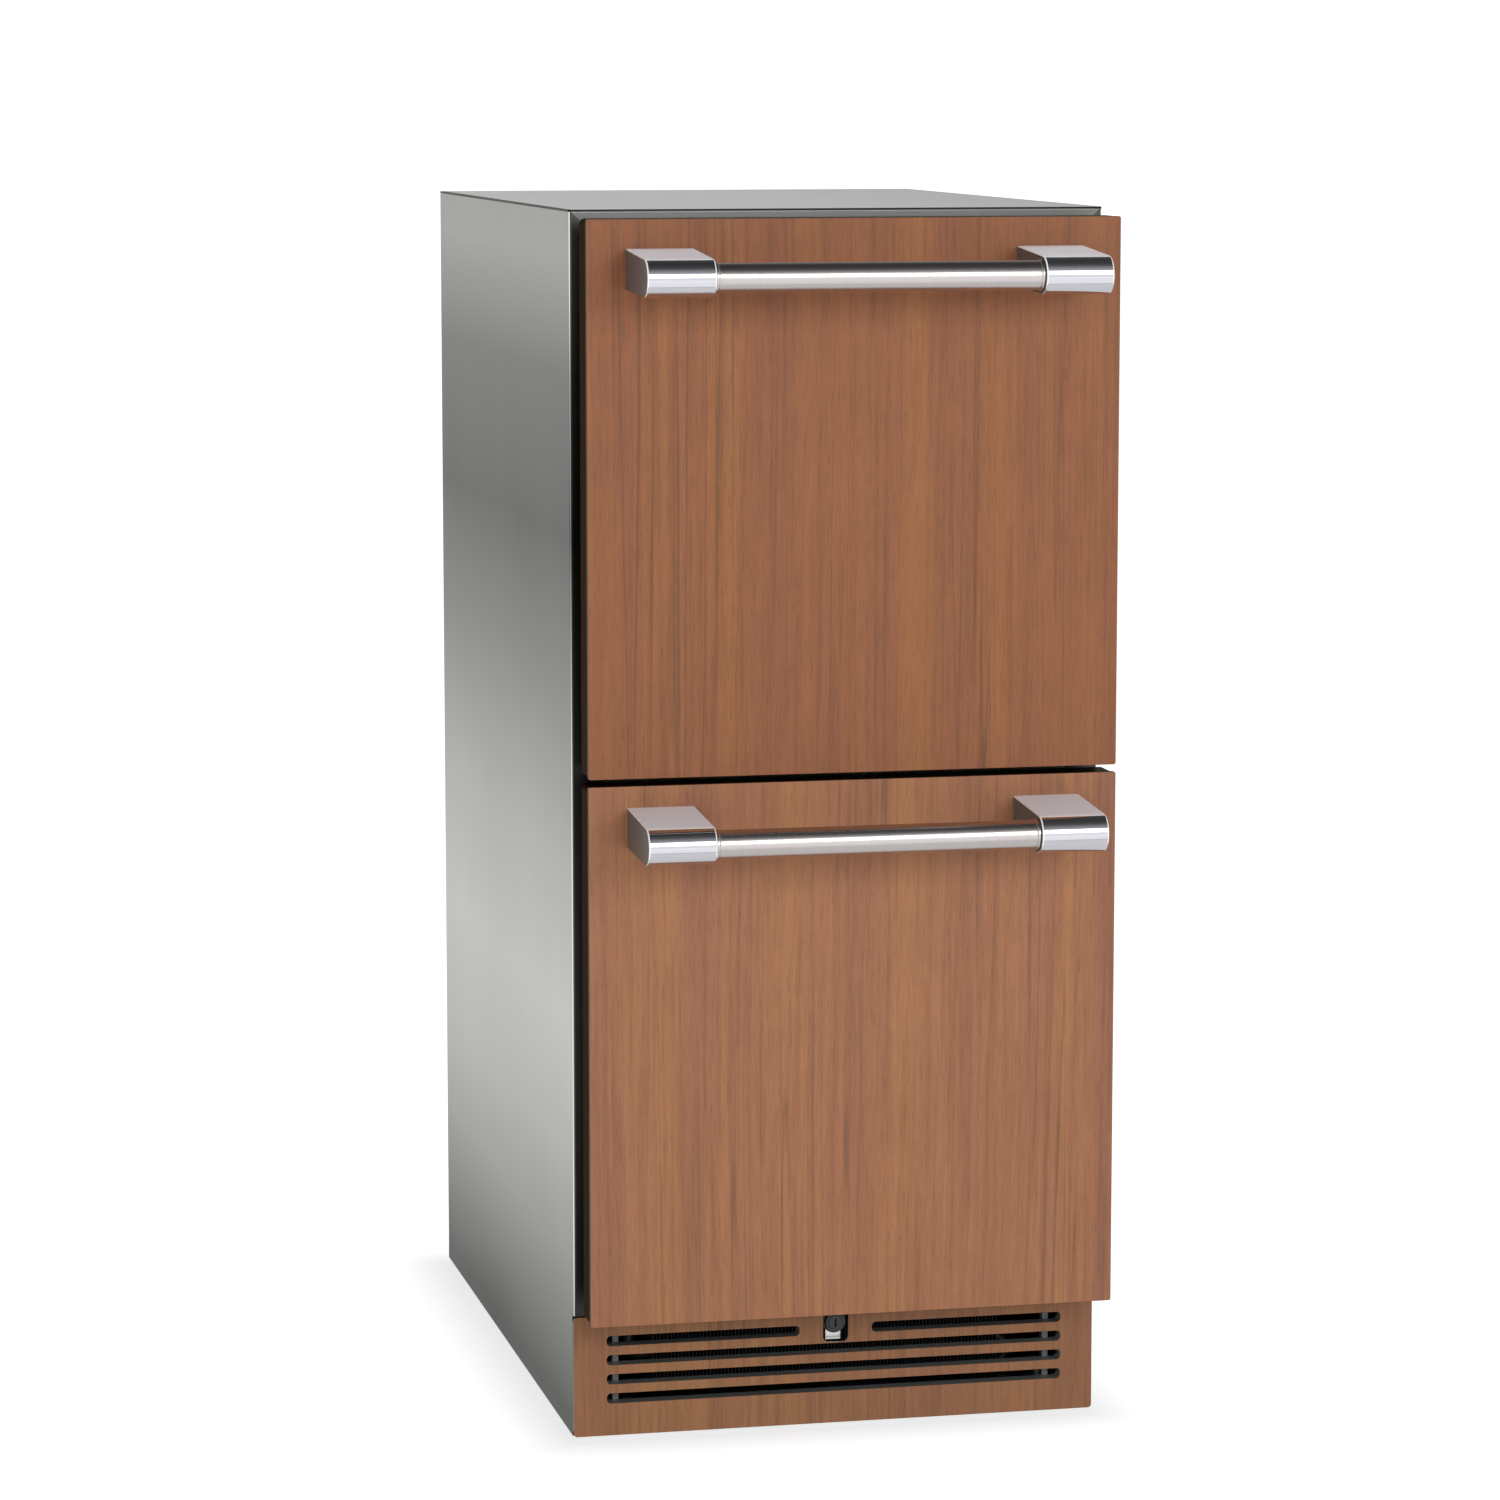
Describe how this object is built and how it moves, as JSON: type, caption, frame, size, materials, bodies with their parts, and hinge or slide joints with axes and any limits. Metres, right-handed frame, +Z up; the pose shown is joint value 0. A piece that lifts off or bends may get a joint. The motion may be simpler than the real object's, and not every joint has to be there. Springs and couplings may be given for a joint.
{
  "type": "undercounter drawer refrigerator",
  "caption": "Narrow built-in undercounter refrigerator with stacked drawers, wood fronts, bar handles, stainless cabinet and a louvred toe grille.",
  "frame": {"origin": "on the floor under the centre of the whole outline, handles included, feet at z = 0", "axes": "+X to the right seen from the front, +Y to the back, +Z up; the drawers open towards -Y"},
  "size_m": [0.378, 0.689, 0.8636],
  "materials": {
    "stainless_steel": "fine vertical brushing",
    "galvanised_steel": "zinc coated sheet",
    "wood_face": "satin reddish-brown wood with straight upright grain",
    "polished_posts": "polished",
    "brushed_tube": "fine circumferential brushing",
    "zinc_screws": "zinc plated",
    "black_rubber": "soft matt",
    "black_plastic": "moulded, matt",
    "black_paint": "satin black paint",
    "foam": "rigid polyurethane foam",
    "copper": "drawn copper tube",
    "coil_aluminium": "mill finish",
    "nickel": "nickel plated",
    "white_plastic": "translucent white"
  },
  "bodies": {
    "cabinet": {"back_panel": "galvanised_steel", "base_pan": "galvanised_steel", "bottom_rail": "stainless_steel", "compressor": "black_paint", "compressor_grommets": "black_rubber", "condensate_tray": "black_plastic", "condenser_coil": "black_paint", "control_module": "black_plastic", "cooling_fan_shroud": "black_plastic", "cord_gland": "black_plastic", "drain_tube": "white_plastic", "evaporator_coil": "coil_aluminium", "evaporator_cover": "stainless_steel", "fan_motors": "black_paint", "grille_brackets": "galvanised_steel", "grille_veneer": "wood_face", "insulation_foam": "foam", "left_side_panel": "stainless_steel", "light_strip": "white_plastic", "liner": "stainless_steel", "lock_housing": "black_paint", "machine_deck": "galvanised_steel", "mullion": "stainless_steel", "rear_cover": "galvanised_steel", "rear_screws": "zinc_screws", "refrigerant_lines": "copper", "right_side_panel": "stainless_steel", "slide_outer_members": "galvanised_steel", "start_relay": "black_plastic", "toe_grille": "black_paint", "top_panel": "stainless_steel"},
    "upper_drawer": {"upper_wood_panel": "wood_face", "upper_drawer_pan": "stainless_steel", "upper_front_foam": "foam", "upper_inner_door": "black_plastic", "upper_gasket": "black_rubber", "upper_bin": "stainless_steel", "upper_handle_posts": "polished_posts", "upper_handle_tube": "brushed_tube", "upper_handle_screws": "zinc_screws", "upper_slide_inner": "galvanised_steel"},
    "upper_slide": {"upper_slide_middle": "galvanised_steel"},
    "lower_drawer": {"lower_wood_panel": "wood_face", "lower_drawer_pan": "stainless_steel", "lower_front_foam": "foam", "lower_inner_door": "black_plastic", "lower_gasket": "black_rubber", "lower_bin": "stainless_steel", "lower_handle_posts": "polished_posts", "lower_handle_tube": "brushed_tube", "lower_handle_screws": "zinc_screws", "lower_slide_inner": "galvanised_steel"},
    "lower_slide": {"lower_slide_middle": "galvanised_steel"},
    "cooling_fan": {"cooling_fan": "black_plastic"},
    "evaporator_fan": {"evaporator_fan": "black_plastic"},
    "lock_plug": {"lock_plug": "nickel"},
    "leg_front_left": {"leg_front_left": "zinc_screws"},
    "leg_front_right": {"leg_front_right": "zinc_screws"},
    "leg_rear_left": {"leg_rear_left": "zinc_screws"},
    "leg_rear_right": {"leg_rear_right": "zinc_screws"}
  },
  "joints": [
    {"name": "upper_drawer_slide", "type": "slide", "parent": "cabinet", "child": "upper_drawer", "axis": [0, -1, 0], "range_m": [0, 0.38]},
    {"name": "upper_slide_extension", "type": "slide", "parent": "cabinet", "child": "upper_slide", "axis": [0, -1, 0], "range_m": [0, 0.19]},
    {"name": "lower_drawer_slide", "type": "slide", "parent": "cabinet", "child": "lower_drawer", "axis": [0, -1, 0], "range_m": [0, 0.28]},
    {"name": "lower_slide_extension", "type": "slide", "parent": "cabinet", "child": "lower_slide", "axis": [0, -1, 0], "range_m": [0, 0.14]},
    {"name": "cooling_fan_spin", "type": "hinge", "parent": "cabinet", "child": "cooling_fan", "pos_m": [0.06, 0.1235, 0.0503], "axis": [0, 1, 0], "continuous": true},
    {"name": "evaporator_fan_spin", "type": "hinge", "parent": "cabinet", "child": "evaporator_fan", "pos_m": [0, 0.2407, 0.7546], "axis": [0, 1, 0], "continuous": true},
    {"name": "lock_turn", "type": "hinge", "parent": "cabinet", "child": "lock_plug", "pos_m": [0, -0.2095, 0.0767], "axis": [0, 1, 0], "range_deg": [0, 90]},
    {"name": "leg_front_left_height", "type": "slide", "parent": "cabinet", "child": "leg_front_left", "axis": [0, 0, -1], "range_m": [0, 0.02]},
    {"name": "leg_front_right_height", "type": "slide", "parent": "cabinet", "child": "leg_front_right", "axis": [0, 0, -1], "range_m": [0, 0.02]},
    {"name": "leg_rear_left_height", "type": "slide", "parent": "cabinet", "child": "leg_rear_left", "axis": [0, 0, -1], "range_m": [0, 0.02]},
    {"name": "leg_rear_right_height", "type": "slide", "parent": "cabinet", "child": "leg_rear_right", "axis": [0, 0, -1], "range_m": [0, 0.02]}
  ],
  "couplings": [
    {"joint": "upper_slide_extension", "follows": "upper_drawer_slide", "ratio": 0.5},
    {"joint": "lower_slide_extension", "follows": "lower_drawer_slide", "ratio": 0.5}
  ]
}
